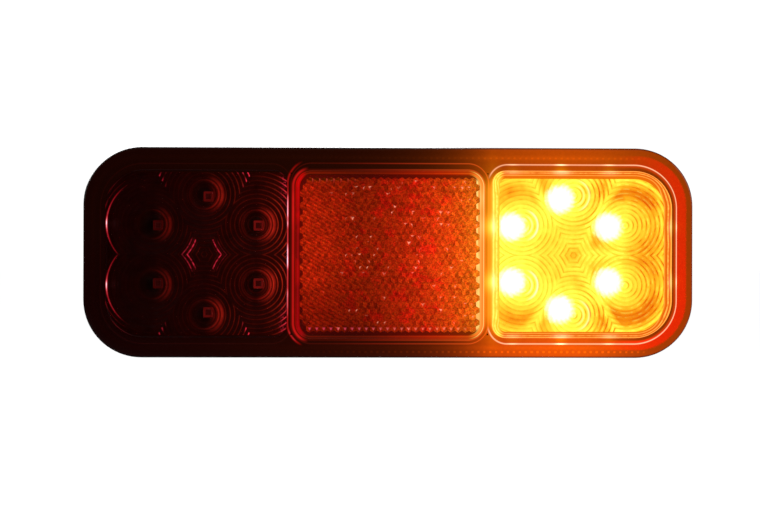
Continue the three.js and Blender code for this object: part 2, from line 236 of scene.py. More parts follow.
class Num:
    """A number in a material, so that a pattern can be written as arithmetic."""

    def __init__(self, tree, socket):
        self.tree, self.socket = tree, socket

    def through(self, node, *values):
        """What a node gives for some inputs."""
        for socket, value in zip(node.inputs, values):
            connect(self.tree, value, socket)
        return Num(self.tree, node.outputs[0])

    def apply(self, operation, *others):
        node = self.tree.nodes.new("ShaderNodeMath")
        node.operation = operation
        return self.through(node, self, *others)

    __add__ = __radd__ = partialmethod(apply, "ADD")
    __sub__ = partialmethod(apply, "SUBTRACT")
    __mul__ = __rmul__ = partialmethod(apply, "MULTIPLY")
    __truediv__ = partialmethod(apply, "DIVIDE")
    least = partialmethod(apply, "MINIMUM")
    most = partialmethod(apply, "MAXIMUM")
    size = partialmethod(apply, "ABSOLUTE")
    power = partialmethod(apply, "POWER")
    root = partialmethod(apply, "SQRT")
    exp = partialmethod(apply, "EXPONENT")

    def __neg__(self):
        return self * -1.0

    def __rsub__(self, other):
        return -self + other

    def decay(self, width):
        """1 where the number is 0 or less, and falling away over the width above it."""
        return (self.most(0.0) / -width).exp()

    def bell(self, centre, width):
        """1 at the centre, and falling away on both sides."""
        t = (self - centre) / width
        return (-(t * t)).exp()

    def rises(self, low, high):
        """A smooth step from 0 to 1."""
        node = self.tree.nodes.new("ShaderNodeMapRange")
        node.interpolation_type = "SMOOTHSTEP"
        return self.through(node, self, low, high, 0.0, 1.0)

    def falls(self, low, high):
        """A smooth step from 1 to 0."""
        return 1 - self.rises(low, high)

    def wave(self, period, phase=0.0):
        """A cosine between -1 and 1."""
        return ((self - phase) * (TURN / period)).apply("COSINE")

    def saw(self, period):
        """The place within the period, from 0 to 1."""
        return (self / period).apply("FRACT")


def total(parts):
    return reduce(add, parts)


class Surface:
    """A Principled material whose sockets can follow the place on the piece, in millimetres."""

    def __init__(self, name, **plain):
        self.material = bpy.data.materials.new(name)
        self.material.use_nodes = True
        self.tree = self.material.node_tree
        self.shader = self.tree.nodes["Principled BSDF"]
        place = self.node("VectorMath")
        place.operation = "SCALE"
        place.inputs["Scale"].default_value = 1 / MM
        self.tree.links.new(self.node("TexCoord").outputs["Object"], place.inputs[0])
        self.place = place.outputs[0]
        self.x, self.y, self.z = self.split(self.place)
        for key, value in plain.items():
            self.set(key.replace("_", " ").title().replace("Ior", "IOR"), value)

    def node(self, kind):
        return self.tree.nodes.new("ShaderNode" + kind)

    def split(self, vector):
        node = self.node("SeparateXYZ")
        self.tree.links.new(vector, node.inputs[0])
        return [Num(self.tree, socket) for socket in node.outputs]

    def set(self, socket, value):
        connect(self.tree, value, self.shader.inputs[socket])
        return self

    def colour(self, *channels):
        node = self.node("CombineXYZ")
        for socket, value in zip(node.inputs, channels):
            connect(self.tree, value, socket)
        return node.outputs[0]

    def base(self, share, low, high):
        """A base colour that goes from one plain colour to another as the share goes from 0 to 1."""
        channels = (share * (b - a) + a for a, b in zip(low, high))
        return self.set("Base Color", self.colour(*channels))

    def glow(self, red, green, blue):
        self.set("Emission Color", self.colour(red, green, blue))
        return self.set("Emission Strength", 1.0)

    def glow_sum(self, *lights):
        """The sum of some lights, each of them an amount and its shares of red, green and blue."""
        return self.glow(*(
            total(light[0] * light[channel] for light in lights if light[channel] != 0)
            for channel in (1, 2, 3)
        ))

    def value(self, name):
        node = self.node("Attribute")
        node.attribute_name = name
        return Num(self.tree, node.outputs["Fac"])

    def noise(self, size, detail=2):
        """Noise between about 0.2 and 0.8, with features of a size in millimetres."""
        scaled = self.node("VectorMath")
        scaled.operation = "MULTIPLY"
        self.tree.links.new(self.place, scaled.inputs[0])
        scaled.inputs[1].default_value = [1 / size] * 3
        node = self.node("TexNoise")
        node.inputs["Scale"].default_value = 1.0
        node.inputs["Detail"].default_value = detail
        self.tree.links.new(scaled.outputs[0], node.inputs["Vector"])
        return Num(self.tree, node.outputs["Fac"])

    def bump(self, height, depth):
        """Raises the surface by a height from 0 to 1, times a depth in millimetres."""
        node = self.node("Bump")
        node.inputs["Distance"].default_value = depth * MM
        connect(self.tree, height, node.inputs["Height"])
        return self.set("Normal", node.outputs[0])

    def normal(self):
        return self.split(self.node("NewGeometry").outputs["True Normal"])

    def mirror(self):
        """How strongly clear acrylic mirrors, which grows as it is seen more from the side."""
        node = self.node("Fresnel")
        node.inputs["IOR"].default_value = ACRYLIC_IOR
        return Num(self.tree, node.outputs[0])

    def away(self, x, z):
        """The distance from a line along Y."""
        dx, dz = self.x - x, self.z - z
        return (dx * dx + dz * dz).root()

    def outside(self, field):
        """How far a point lies outside a field. It is negative inside."""
        cx, cz = (field.left + field.right) / 2, (field.low + field.high) / 2
        right = (self.x - cx).apply("GREATER_THAN", 0.0)
        corner = right * (field.right_corner - field.left_corner) + field.left_corner
        over_x = (self.x - cx).size() - (field.right - field.left) / 2 + corner
        over_z = (self.z - cz).size() - (field.high - field.low) / 2 + corner
        away_x, away_z = over_x.most(0.0), over_z.most(0.0)
        away = (away_x * away_x + away_z * away_z).root()
        return away + over_x.most(over_z).least(0.0) - corner


def plastic(name, low, high, roughness, grain=0.35, depth=0.02, spec=0.5):
    """Moulded plastic or rubber: a fine grain, faint flow marks and patches of dust and wear."""
    s = Surface(name, specular_ior_level=spec)
    patches, fine = s.noise(14, 4), s.noise(grain)
    s.base(patches.rises(0.3, 0.75) * 0.7 + fine * 0.3, low, high)
    s.set("Roughness", roughness + (patches - 0.5) * 0.25 + (fine - 0.5) * 0.1)
    return s.bump(fine * 0.8 + s.noise(grain * 6) * 0.6, depth).material


def metal(name, low, high, roughness=0.34):
    """Plated or drawn metal with streaks, dull patches and tiny pits."""
    s = Surface(name, metallic=0.72)
    lines, patches = s.noise(0.5, 4), s.noise(3, 4)
    s.base(lines * 0.5 + patches.rises(0.35, 0.7) * 0.5, low, high)
    s.set("Roughness", roughness + (lines - 0.5) * 0.3 + patches.rises(0.55, 0.75) * 0.15)
    return s.bump(lines, 0.015).material


# ---- the lamp's layout, from its CAD frame

LENS_LOW, LENS_HIGH = box("main_lens")
WINDOW_LOW, WINDOW_HIGH = box("indicator_lens")
PLATE_LOW, PLATE_HIGH = box("reflector_plate")
FACE = WINDOW_LOW[1]
SKIRT_BACK = LENS_HIGH[1]
MIDDLE_Z = (WINDOW_LOW[2] + WINDOW_HIGH[2]) / 2
RIM_WIDTH = 6.3
TOP_RAISE = 0.6  # the photo's windows reach this much higher than the CAD's

OUTLINE = Field(LENS_LOW[0], LENS_HIGH[0], LENS_LOW[2], LENS_HIGH[2], 19.6)
WINDOW = Field(WINDOW_LOW[0], WINDOW_HIGH[0], WINDOW_LOW[2], WINDOW_HIGH[2] + TOP_RAISE, 4.5, 12.8)
BORDER = Field(33, WINDOW.right + 1.8, WINDOW.low - 2.1, WINDOW.high + 2.1, 6.5, 14.6)
OPTICS = WINDOW.inset(1.6, 1.4, 1.4, 2.0, 3, 11.4)
STOP_OPTICS = WINDOW.mirrored().inset(0.4, -0.15, 0.15, 0.15, 12.4, 4.4)
PLATE = Field(PLATE_LOW[0], PLATE_HIGH[0], PLATE_LOW[2], PLATE_HIGH[2], 6.8)
REFLECTOR = PLATE.grown(-1.4)
REFLECTOR_BORDER = REFLECTOR.inset(-1.6, -1.6, -1.6, -2.5, 7)
PRISMS = REFLECTOR.grown(-1.8)

# Each window is see-through inside these, and solid round them.
CLEAR = OPTICS.inset(0.8, 1.5, 0.8, 0.8, 2.2, 10)
STOP_CLEAR = STOP_OPTICS.grown(-0.35)

# The CAD node that a piece stands for, and the name of its material slot.
MAIN_LENS = "main_lens", "red_acrylic"
INDICATOR_LENS = "indicator_lens", "amber_acrylic"
REFLECTOR_PLATE = "reflector_plate", "reflex_acrylic"

RIM_Y = FACE + 2
RIM_RADIUS = 3
BORDER_Y = FACE + 1.2
REFLECTOR_BORDER_Y = FACE + 1
OPTICS_Y = FACE + 2.5
OPEN_Y = OPTICS_Y + 2  # where the open backs of the windows and the borders end


def led_places(module):
    """Where a module's LEDs stand: (x, z) of each one's middle."""
    return [tuple(middle(f"led_{module}_{i}")[[0, 2]]) for i in range(1, 7)]


STOP_LEDS, INDICATOR_LEDS = led_places("stop"), led_places("indicator")
MODULE_X = sum(x for x, z in INDICATOR_LEDS) / 6
RING_PITCH = 1.5

# The bright spots are each LED's image in the lens, which stands towards the lamp's middle.
SPOT_SHIFT = -4.6
SPOTS = [(x + SPOT_SHIFT - (x - MODULE_X) * 0.065, z * 0.924 + 0.26) for x, z in INDICATOR_LEDS]
SPOT_COLUMNS = sorted({round(x, 1) for x, z in SPOTS})
SPOT_ROWS = sorted({round(z, 1) for x, z in SPOTS})


# ---- light carried in the plastic


def spill(s):
    """How brightly the lit indicator makes the red plastic glow: near 1 beside it, near 0 far off."""
    left_of = (WINDOW.left - s.x).most(0.0)
    far = left_of.decay(9) * 0.30 + left_of.decay(22) * 0.045 + left_of.decay(90) * 0.021
    slope = s.x.rises(-95, 10) * 0.4 - 0.14 - s.x.rises(60, 95) * 0.2
    below = 1.08 - (s.z / 12).least(1.0).most(-1.0) * slope
    return (far + s.x.bell(MODULE_X - 3, 24) * 0.25) * below


def near_leds(s, width):
    """Peaks on a straight edge beside each column and row of lit LEDs."""
    bells = [s.x.bell(x, width) * share for x, share in zip(SPOT_COLUMNS, (0.4, 1.1, 0.6))]
    bells += [s.z.bell(z, width) * (1 - s.x.rises(60, 80) * 0.45) for z in SPOT_ROWS[1:-1]]
    return total(bells)


# ---- the main lens


def rim_material():
    s = Surface("rim_acrylic", specular_ior_level=0.14)
    grain, dots, patches = s.noise(0.9, 3), s.noise(0.32, 1), s.noise(9).rises(0.4, 0.62)
    light = spill(s)
    inward, border, beside = -s.outside(OUTLINE), s.outside(BORDER), s.outside(WINDOW)
    frame_edge, frame_opening = s.outside(REFLECTOR_BORDER), s.outside(REFLECTOR)
    right_end = s.x.rises(66, 93)

    # A band of frosting inside the edge at the right end, and a row of dots along the top and bottom.
    # Both carry painted light: the band's glow is painted brighter and sparkles with painted glints,
    # and the dots are painted glow only.
    frosted_and_glowing = (inward + (dots - 0.5) * 1.2).rises(2.5, 3.2) * inward.falls(6.0, RIM_WIDTH)
    frosted_and_glowing = frosted_and_glowing * (s.x - s.z.rises(0, 25) * 7).rises(67, 93)
    sparkle = frosted_and_glowing * dots.rises(0.6, 0.72)
    row = (s.z - MIDDLE_Z).size().bell(32.6, 0.28) * s.x.wave(2.0).rises(0.0, 0.8)
    row = row * s.x.rises(-60, 0) * s.x.falls(84, 88) * (0.3 + (-s.z).rises(-5, 5) * 0.7)

    # The plain glow, which dims towards the outer edge and beside the right border.
    shoulder = inward.bell(3.6, 0.8) * 0.22 * (1 - right_end)
    level = light * (1 + shoulder - right_end * 0.2) * (0.14 + inward.rises(0.1, 1.0) * 0.86)
    level = level * (1 - (-border).rises(0.9, 1.5) * right_end * 0.35) * (0.88 + grain * 0.24)
    low = (-s.z).rises(-10, 10)
    tint = 0.085 + s.x.rises(-100, -30) * 0.045 - low * (0.06 - s.x.rises(-95, 95) * 0.045)

    # Painted highlights: the bright lines along the edges of the windows' borders and of the
    # reflector's.
    beside_line = (-border).bell(0.7, 0.4) * right_end * 0.25
    edge = border.bell(-0.14, 0.2) * light.power(0.5)
    edge = edge * (0.5 + right_end * 0.3 + near_leds(s, 1.7) * 1.1) * s.x.rises(24, 30)
    edge = edge * (1 - s.x.falls(34, 38) * s.z.size().falls(24.5, 27))
    stop_edge = s.outside(BORDER.mirrored()).bell(-0.12, 0.18) * (light * 0.6 + 0.004)
    glint = frame_edge.bell(0.95, 0.3) * (-s.x).rises(29, 32.5) * (0.65 + patches * 1.2)
    glint = glint * s.z.bell(MIDDLE_Z, 28)
    band = frame_opening.bell(0.7, 0.4) * (-s.x).rises(27, 31) * (0.5 + patches * 0.2)
    frame_line = frame_edge.bell(-0.1, 0.2) + frame_opening.bell(0.25, 0.22)
    frame_line = frame_line * (0.05 + s.x.rises(-24, 34) * 0.5)

    # The light that leaks out between the reflector and the lit window, and round that window.
    gap = beside.decay(2.2) * s.x.falls(34.0, 38.5) * (1.0 + near_leds(s, 3.2) * 1.4)
    gap = gap * (1 - s.z.size().rises(20, 27) * 0.75)
    hot = beside.decay(1.2) * near_leds(s, 2.0) * s.x.rises(30, 34)
    s.glow_sum(
        (level, 1 + frosted_and_glowing * 1.2 + row * 0.9, tint - frosted_and_glowing * 0.055 + row * 0.1, 0.002),
        (edge, 2.1, 1.3, 0.78),
        (stop_edge, 1, 0.06, 0.05),
        (beside_line + glint, 1, 0, 0),
        (glint.power(3.0), 0, 0.2, 0.26),
        (band, 1, 0.012, 0.012),
        (frame_line, 0.8, 0.03 + s.x.rises(-10, 36) * 0.06, 0.012),
        (sparkle, 0.16, 0.02, 0),
        (gap, 0.9, 0.38, gap * 0.02),
        (hot, 0.25, 0.14, 0),
    )
    s.base(grain, (0.0018, 0.0001, 0.0001), (0.0032, 0.0002, 0.0002))
    s.set("Roughness", 0.2 + (grain - 0.5) * 0.2 + frosted_and_glowing * 0.3)
    return s.bump(grain * 0.3 + dots * frosted_and_glowing, 0.04).material


def build_main_lens():
    skirt = [(-2.2, SKIRT_BACK), (-0.3, SKIRT_BACK), (0, SKIRT_BACK - 0.3)]
    skirt += front_edge(RIM_Y, RIM_RADIUS, 10) + [(-RIM_WIDTH, RIM_Y)]
    shape = Shape().loft(rings(OUTLINE, skirt, 20))
    frames = (
        (BORDER, WINDOW, BORDER_Y, 0.35, 0.25),
        (BORDER.mirrored(), WINDOW.mirrored(), BORDER_Y, 0.35, 0.25),
        (REFLECTOR_BORDER, REFLECTOR, REFLECTOR_BORDER_Y, 0.4, 0.3),
    )
    for border, opening, y, radius, lip in frames:
        wall = [(0.5, RIM_Y + 0.6), (0.5, RIM_Y), (0.12, RIM_Y - 0.12)] + front_edge(y, radius, 4)
        inside = [(lip, y), (0.0, y + lip), (0.0, OPEN_Y)]
        shape.loft(rings(border, wall) + rings(opening, inside))
    # The flat between the rim and the raised borders, as a band that runs under the borders' edges.
    outer, inner = OUTLINE.grown(-RIM_WIDTH), Field(-97, 97, BORDER.low + 3, BORDER.high - 3, 10)
    shape.loft([outer.ring(RIM_Y, steps=20), inner.ring(RIM_Y + 0.01, steps=20)])
    piece("lens_rim", *MAIN_LENS, shape, rim_material())


# ---- windows and their ring optics

STOP_RED = (0.003, 0.0002, 0.0002), (0.006, 0.0003, 0.0003)


def window_shape(field):
    """A flat window with a rounded edge, open behind."""
    field = field.grown(-0.03)
    profile = [(0, OPEN_Y)] + front_edge(FACE, 0.7, 6) + [(-1.6, FACE)]
    shape = Shape().loft(rings(field, profile))
    return shape.loft(rings(field, [(-1.6, FACE), (-3.2, FACE)]), last_cap=True)


def clear(s, smear, solid, tint=0.0):
    """Finishes see-through polished plastic, dulled by smears. It is solid where solid is 1."""
    s.set("Alpha", (s.mirror() + tint).least(1.0).most(solid))
    s.set("Roughness", 0.05 + smear.rises(0.5, 0.8) * 0.08)
    return s.bump(s.noise(5), 0.01).material


def stop_arcs(s):
    """Painted glints: the bright lines that the stop window's outer edge draws round the outermost
    LEDs.
    """
    arcs = []
    for up in (-1, 1):
        middle_z = 10.2 * up + MIDDLE_Z
        height, away = (s.z - middle_z) * up, s.away(-79.1, middle_z)
        own = height.rises(-10.5, -9.8) * (-s.x).rises(84.5, 92)
        arc = 0.12 + height.bell(1.0, 7.0) * 0.3 + s.z.bell(middle_z, 1.7) * 1.2
        faint = (16.8, 0.09), (18.2, 0.06), (14.4, 0.03)
        outer = total(away.bell(radius, 0.2) * share for radius, share in faint)
        arcs.append((away.bell(15.4, 0.24) * arc + outer * height.rises(-4, 6)) * own)
    return total(arcs) * s.y.falls(FACE + 0.9, FACE + 1.4) * (0.5 + s.noise(1.6))


def indicator_window_material():
    s = Surface("indicator_acrylic")
    into, smear = -s.outside(WINDOW), s.noise(1.1, 3)
    band = s.outside(CLEAR).rises(-0.12, 0.12)
    inner_side = s.x.falls(36.2, 38.6)
    beside_leds = near_leds(s, 2.6) * into.bell(0.4, 0.9)

    # Uneven streaks run round the edge, with brown lines between them.
    place = into * (1 + (s.z - MIDDLE_Z).size().rises(19, 26) * 0.7) + (s.noise(7) - 0.5) * 0.5
    streak = place.bell(0.4, 0.3) * 1.1 + place.bell(1.5, 0.26) * (0.5 + smear.rises(0.3, 0.6) * 0.7)
    streak = streak + place.bell(2.8, 0.2) * 0.9
    brown = place.bell(1.0, 0.16) + place.bell(1.95, 0.18) * (0.4 + smear)

    green = 0.15 + streak * 0.31 * (0.6 + smear * 0.8) + inner_side * (0.36 + smear * 0.3)
    green = green + beside_leds * 0.5 + s.x.rises(88, 92) * 0.03
    green = green * (0.45 + into.rises(0.0, 0.25) * 0.55) * (1 - brown * (1 - inner_side) * 0.6)
    pale = streak * 0.05 + beside_leds * 0.2 + green * green * 0.09
    s.glow((0.6 + green * 1.3) * band, green * band, pale * band)
    return clear(s.base(smear, (0.08, 0.016, 0.001), (0.12, 0.025, 0.001)), smear, band)


def stop_window_material():
    s = Surface("stop_acrylic")
    into, smear = -s.outside(WINDOW.mirrored()), s.noise(1.1, 3)
    band = s.outside(STOP_CLEAR).rises(-0.12, 0.12)
    arcs = stop_arcs(s)
    level = (spill(s) * 0.5 + into.bell(2.0, 0.35) * 0.006) * band
    s.glow_sum((level, 1, 0.04, 0.03), (arcs.power(3.0), 0, 0.22, 0.24), (arcs, 1, 0.01, 0.03))
    return clear(s.base(smear, *STOP_RED), smear, band, arcs.rises(0.0, 0.2))


GRID = 0.22
GROOVE_DEPTH = 0.42
GROOVE_SLOPE = 0.82  # the share of each groove that slopes in; the rest is its steep side


def ring_optics(module, stands_for, leds, field, material):
    """The ring lenses inside a window: grooves about each LED, parted half way between neighbours."""
    leds = np.array(leds)
    rows = int((field.high - field.low) / GRID)
    columns = int((field.right - field.left) / GRID)
    z = np.linspace(field.low + 0.01, field.high - 0.01, rows + 1)
    ends = np.array([field.span(one) for one in z])
    x = ends[:, :1] + (ends[:, 1:] - ends[:, :1]) * np.linspace(0, 1, columns + 1)
    z = np.repeat(z[:, None], columns + 1, 1)
    away = np.hypot(x[..., None] - leds[:, 0], z[..., None] - leds[:, 1])
    nearest = away.argmin(-1)
    sorted_away = np.sort(away, -1)
    distance = sorted_away[..., 0]
    groove = (distance / RING_PITCH) % 1.0
    slope, steep = groove / GROOVE_SLOPE, (1 - groove) / (1 - GROOVE_SLOPE)
    depth = GROOVE_DEPTH * np.where(groove < GROOVE_SLOPE, slope, steep)
    dome = GROOVE_DEPTH * (1 - (distance / (RING_PITCH * 2)) ** 2)
    depth = np.where(distance < RING_PITCH * 2, dome, depth)
    points = np.stack([x, OPTICS_Y + depth, z], -1).reshape(-1, 3)
    at = np.arange((rows + 1) * (columns + 1)).reshape(rows + 1, columns + 1)
    quads = np.stack([at[:-1, :-1], at[:-1, 1:], at[1:, 1:], at[1:, :-1]], -1).reshape(-1, 4)
    values = {
        "ring": distance.ravel(),
        "facing": ((x - leds[nearest, 0]) / np.maximum(distance, 1e-6)).ravel(),
        "seam": (sorted_away[..., 1] - distance).ravel(),
    }
    shape = Shape().add(points, quads.tolist())
    piece(f"{module}_ring_optics", *stands_for, shape, material, values=values, sharp=60)


def indicator_optics_material():
    s = Surface("indicator_rings", roughness=0.2, specular_ior_level=0.2)
    ring, seam, facing = map(s.value, ("ring", "seam", "facing"))
    groove = ring.saw(RING_PITCH)
    line, ridge = groove.bell(0.84, 0.13), groove.bell(0.45, 0.2)
    mottle, fine = s.noise(2.4, 3), s.noise(0.5)
    height, centre = (s.z - MIDDLE_Z).size(), s.away(MODULE_X, MIDDLE_Z)
    outer = (s.x - MODULE_X).rises(-6, 8)

    # More green makes the light yellow near each LED's image. Less makes it orange, in patches.
    near = [s.away(x, z) for x, z in SPOTS]
    green = (total((away * away / 36 + 1).power(-1.0) for away in near) * 0.8 + 0.42)
    green = green * (0.8 + mottle * 0.4)
    patch = 0.75 + s.noise(7).rises(0.35, 0.6) * 0.6
    dim = ring.bell(11.5, 3.2) * seam.rises(0.8, 5.0) * (height.rises(12, 19) * 0.45 + outer * 0.4)
    green = green * (1 - (dim * patch).least(0.66))
    green = green + s.outside(CLEAR).bell(0.0, 2.2) * (0.14 + outer * 0.2)
    green = green * (1 - centre.bell(0.0, 3.0) * 0.4) * (1 - centre.bell(9.0, 3.5) * 0.12)
    green = green * (1 - s.x.rises(76, 86) * s.z.bell(MIDDLE_Z, 6.5) * patch * 0.35)
    contrast = 0.22 - ring.bell(4.0, 4.0) * 0.1 + facing.most(0.0) * (0.06 + outer * 0.26)
    contrast = contrast * (s.noise(3).rises(0.3, 0.65) * 1.5 + 0.15)
    green = green * (1 - line * contrast) * (1 + ridge * 0.12) * (0.93 + fine * 0.14)

    # Each LED's image is a white disc whose edge follows the grooves. Pale arcs lie beside it.
    ripple = ring.wave(RING_PITCH) * 0.22 + (mottle - 0.5) * 1.8 + (fine - 0.5)
    white = reduce(Num.most, [(away + ripple).falls(2.8, 5.8) for away in near])
    arcs = ring.bell(5.3, 0.35) * facing.rises(0.2, 0.9) * 0.5
    arcs = arcs + ring.bell(3.4, 0.3) * facing.rises(0.1, 0.9) * 0.25
    arcs = arcs * s.x.falls(MODULE_X - 2, MODULE_X + 12)
    pale = groove.bell(0.25, 0.12) * outer * ring.rises(5, 8) * s.noise(2.2).rises(0.45, 0.6) * 0.24
    s.glow_sum(
        (green, 0.7, 1, green * 0.066),
        (white + 0.72, 1, 0, 0),
        (white, 0, 1, 1.1),
        (arcs, 0, 0.4, 1),
        (pale, 0, 1, 0.2),
    )
    s.base(mottle, (0.10, 0.03, 0.001), (0.16, 0.05, 0.002))
    return s.bump(fine, 0.01).material


def stop_optics_material():
    s = Surface("stop_rings", roughness=0.2, specular_ior_level=0.25)
    ring, seam, facing = map(s.value, ("ring", "seam", "facing"))
    line = ring.saw(RING_PITCH).bell(0.86, 0.11)
    mottle, fine = s.noise(4, 3), s.noise(0.6)
    aside, height = s.x + MODULE_X, (s.z - MIDDLE_Z).size()
    lit_side, right_end = s.x.rises(-90, -38), s.x.rises(-46, -35)
    right, left, sideways = facing.most(0.0), (-facing).most(0.0), facing * facing

    # The grooves catch the light that comes from the right, in broken lines.
    breaks = (0.25 + mottle * 1.5).power(2.0) * (0.6 + s.noise(1.2) * 0.8)
    base = (0.0052 + lit_side * 0.0095 + right_end * 0.0095) * (0.3 + mottle * 1.4)
    caught = (0.006 + lit_side * lit_side * 0.085) * breaks * (0.2 + right * 0.9 + left * 0.3)
    end_glow = right_end * 0.22 * (0.05 + right * right + left * left * 0.3) * (0.2 + breaks * 0.8)
    halo = ring.bell(4.9, 0.3) * (0.03 + right * 0.22 + right_end * 0.06) * (0.12 + lit_side)
    halo = halo + ring.bell(6.1, 0.5) * right.power(2.0) * 0.2 * (0.12 + lit_side)
    halo = halo + ring.bell(3.5, 0.3) * right.power(2.0) * 0.09 * (0.1 + lit_side)
    halo = halo * (0.5 + s.noise(1.8) * 1.3)
    level = base + line * (caught + end_glow) + halo

    # Painted glints: the chevrons in the middle, and the ends of the seams between the LEDs' rings.
    hexagon = ring.bell(15.45, 0.17) + ring.bell(14.1, 0.14) * (0.15 + (-aside).rises(0.0, 1.0) * 0.4)
    hexagon = hexagon * sideways.rises(0.3, 0.5) * aside.size().falls(8.0, 9.0) * 0.5
    hexagon = hexagon * height.falls(4.8, 6.0) * (0.15 + s.noise(0.9).rises(0.3, 0.65) * 1.2)
    dots = line * (1 - right_end) * sideways.rises(0.12, 0.4) * (0.3 + lit_side)
    seams = seam.bell(0.0, 0.9) * height.bell(26.0, 2.2)
    seams = seams + seam.bell(0.0, 4.0) * height.bell(27.4, 0.4) * lit_side * 0.9
    tips = s.x.rises(-37.8, -34.6) * height.bell(23.0, 4.5) * (line * 0.6 + fine.rises(0.5, 0.7) * 0.35)
    accent = hexagon + dots * seams + tips
    s.glow_sum((level, 1, 0.045, 0.015), (accent, 1, 0.03, 0.07), (halo, 0, -0.015, 0))
    s.base(mottle, *STOP_RED)
    s.set("Alpha", ring.bell(0.0, 3.8) * -0.88 + 1.0 + accent)
    return s.bump(fine, 0.01).material


# ---- the reflector

PIN = 2.38
PIN_ROW = PIN * math.sqrt(3) / 2
PIN_RADIUS = PIN / math.sqrt(3)
PIN_ANGLES = np.radians(np.arange(30, 390, 60))
PIN_STEP = PIN_RADIUS / math.sqrt(2) * 0.62  # how far each ring of a pin's corners stands forward
POCKET_Y = OPTICS_Y + 0.4
POCKET_RED = (0.02, 0.001, 0.001), (0.035, 0.002, 0.001)


def reflector_light(s):
    """Red and green light in the reflector, which grow towards the lit indicator."""
    from_right = (REFLECTOR.right - s.x).most(0.0)
    height = (s.z - MIDDLE_Z) / 24
    low_left = (-s.z).rises(0, 26) * s.x.falls(-22, 6)
    rows = (1 - height * height * 0.22) * (1 - low_left * 0.42)
    red = (from_right.falls(0, 42) * 0.62 + 0.25 + from_right.bell(58, 9) * 0.14) * rows
    green = (from_right.decay(8.5) * 0.2 + 0.0095 + from_right.bell(57, 9) * 0.003) * rows
    return red, green


def pins_material():
    s = Surface("reflector_pins", roughness=0.15, specular_ior_level=0.2)
    nx, ny, nz = s.normal()
    pin, apex, facet = map(s.value, ("pin", "apex", "facet"))
    red, green = reflector_light(s)
    mottle, patch, speck, hue = s.noise(6, 3), s.noise(10), s.noise(0.5), s.noise(0.9)
    crimson = s.noise(4.0, 3).rises(0.53, 0.65) * s.x.rises(-22, -10) * s.x.falls(16, 26)

    # Each facet has painted shading, lighter as it faces right and up, and a random shade of its own.
    shade = 0.98 + nx * 0.28 + nz * 0.1 + (apex - 0.45) * 0.2 + (facet - 0.5) * 0.45
    # Slanting bands of painted light run across the rows of pins.
    sway = (s.noise(4) - 0.5) * 0.9
    falling = (s.x * 0.5 + s.z * 0.866 + sway).wave(PIN / 2) * s.x.falls(-22, 4)
    rising = (s.z * 0.5 - s.x * 0.866 + sway).wave(PIN / 2) * s.x.rises(-20, 0) * 0.3
    shade = shade * (1 + (falling + rising) * 0.26 * (0.4 + patch)) * (0.9 + pin * 0.2)
    shade = shade * (0.75 + mottle * 0.5) * (0.62 + speck.rises(0.3, 0.7) * 0.76)

    # Painted glints: the lowest row of pins shows bright dots, the highest one strokes on dimmer
    # painted light, and clusters of pins sparkle.
    lowest = s.z.bell(PRISMS.low + PIN * 0.5, 0.9) * s.x.falls(22, 29)
    highest = s.z.bell(PRISMS.high - PIN * 0.45, 0.8) * s.x.falls(-20, -6)
    dot, stroke = lowest * apex.rises(0.62, 0.9), highest * s.x.wave(PIN, 0.3).rises(0.75, 0.98)
    cluster = s.noise(4.5).rises(0.5, 0.6) * s.x.rises(-20, -6) * (0.5 + s.z.rises(-14, 0) * 0.7)
    sparkle = (pin * 0.5 + facet * 0.5 + cluster * 0.2).rises(0.85, 0.95) * apex.rises(0.6, 0.92)
    sparkle = sparkle * (0.35 + speck.rises(0.35, 0.65)) * (s.x.rises(-24, -10) * 0.95 + 0.05)

    red = red * shade * (1 - highest * 0.65) * (1 + crimson * 0.3)
    red = red + sparkle * 0.65 + dot * 0.55 + stroke * 0.4
    green = green * shade * (0.1 + hue * 1.8) * (1 - crimson * 0.4)
    green = green + sparkle * 0.3 + dot * (0.04 + s.x.rises(-20, 25) * 0.14)
    blue = red * 0.004 + sparkle * 0.19 + dot * 0.09 + stroke * 0.02 + green * green * 0.1
    s.glow(red, green + stroke * 0.03, blue)
    return s.base(mottle, *POCKET_RED).bump(speck, 0.015).material


def pocket_material():
    """The strip of the reflector's body round the pins, with a painted pale glow at its right end."""
    s = Surface("reflector_pocket", roughness=0.2, specular_ior_level=0.2)
    red, green = reflector_light(s)
    right = s.x.rises(28.2, 29.2) * (s.z - MIDDLE_Z).size().falls(24.5, 26)
    fine, dim = s.noise(0.4), 0.3 + right * 0.6
    # The painted pale glow at the right end, in patches.
    cream_glow = right * (0.55 + s.noise(5).rises(0.35, 0.6) * 0.45) * (0.6 + fine * 0.8)
    cream_glow = cream_glow * (1 - s.x.rises(29.7, 30.1) * s.z.rises(-6, 6) * 0.75)
    s.glow(
        red * dim + right * 0.45, green * dim * 0.8 + right * 0.1 + cream_glow * 0.52, cream_glow * 0.2 + 0.0005,
    )
    return s.base(fine, *POCKET_RED).bump(fine, 0.02).material


